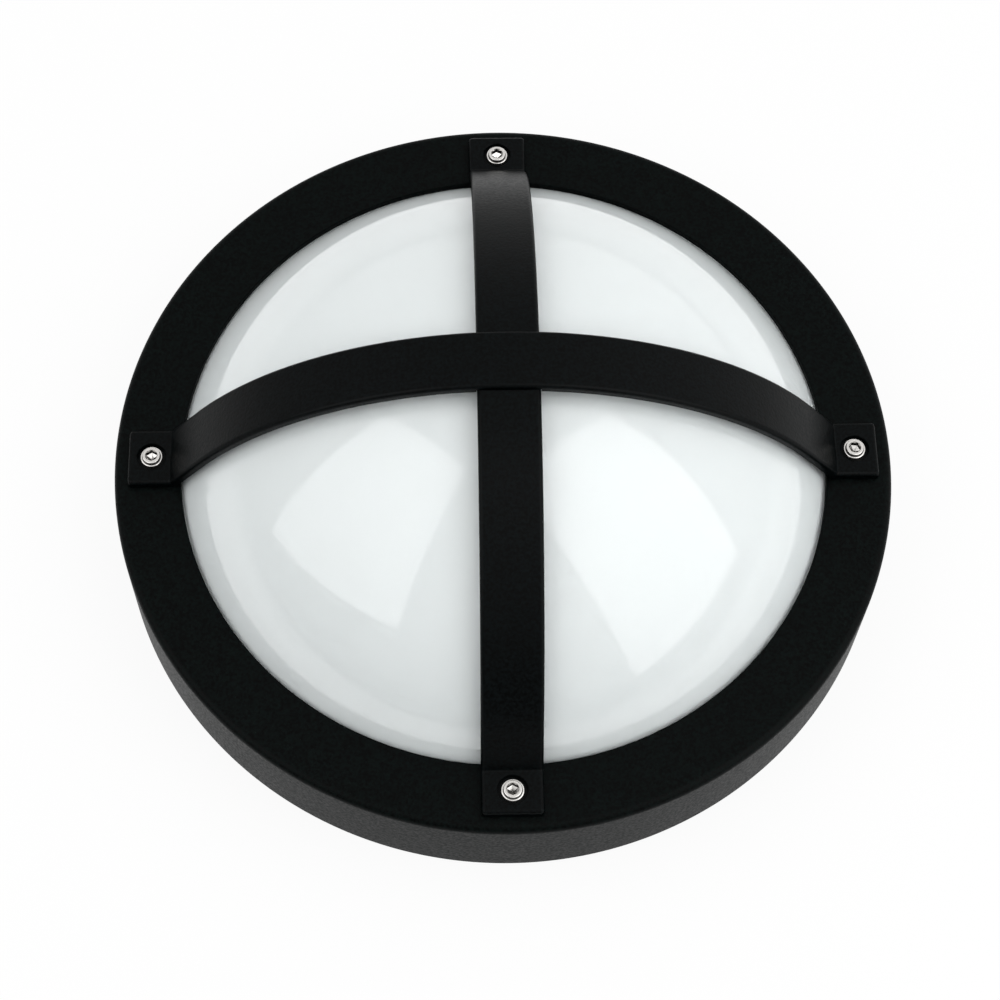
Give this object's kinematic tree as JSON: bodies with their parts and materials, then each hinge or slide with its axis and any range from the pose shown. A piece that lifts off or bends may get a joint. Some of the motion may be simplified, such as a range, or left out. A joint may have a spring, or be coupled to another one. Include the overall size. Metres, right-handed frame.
{
  "type": "bulkhead light",
  "caption": "Round wall or ceiling bulkhead light with a deep black trim ring, an opal dome and crossed bowed guard straps held by socket screws.",
  "frame": {"origin": "centre of the back face that goes on the wall", "axes": "+Z out of the wall through the dome's crown, +X along the upper guard strap, +Y along the lower one"},
  "size_m": [0.3, 0.3, 0.1197],
  "materials": {
    "black_coat": "fine textured semi-matt powder coat",
    "base_coat": "semi-matt powder coat",
    "stainless": "bright machined",
    "opal": "glossy opal",
    "seal_rubber": "matt",
    "white_coat": "smooth white paint",
    "board_white": "white solder mask",
    "light_source": "phosphor gel",
    "zinc_steel": "bright zinc plate",
    "driver_case": "moulded",
    "terminal_plastic": "moulded",
    "brass_screw": "bright",
    "tinned_copper": "tinned",
    "live_insulation": "smooth",
    "neutral_insulation": "smooth",
    "earth_insulation": "smooth, striped",
    "red_insulation": "smooth",
    "black_insulation": "smooth"
  },
  "bodies": {
    "root": {"trim_ring": "black_coat", "upper_guard_strap": "black_coat", "lower_guard_strap": "black_coat", "cover_screws": "stainless", "diffuser": "opal", "diffuser_gasket": "seal_rubber", "base_housing": "base_coat", "cable_grommet": "seal_rubber", "gear_tray": "white_coat", "tray_screws": "zinc_steel", "led_board": "board_white", "led_chips": "light_source", "board_screws": "zinc_steel", "led_driver": "driver_case", "driver_screws": "zinc_steel", "terminal_block": "terminal_plastic", "terminal_clamp_screws": "brass_screw", "terminal_fixing_screw": "zinc_steel", "earth_lug": "tinned_copper", "earth_screw": "brass_screw", "live_wire": "live_insulation", "neutral_wire": "neutral_insulation", "earth_wire": "earth_insulation", "led_lead_positive": "red_insulation", "led_lead_negative": "black_insulation"}
  },
  "joints": []
}
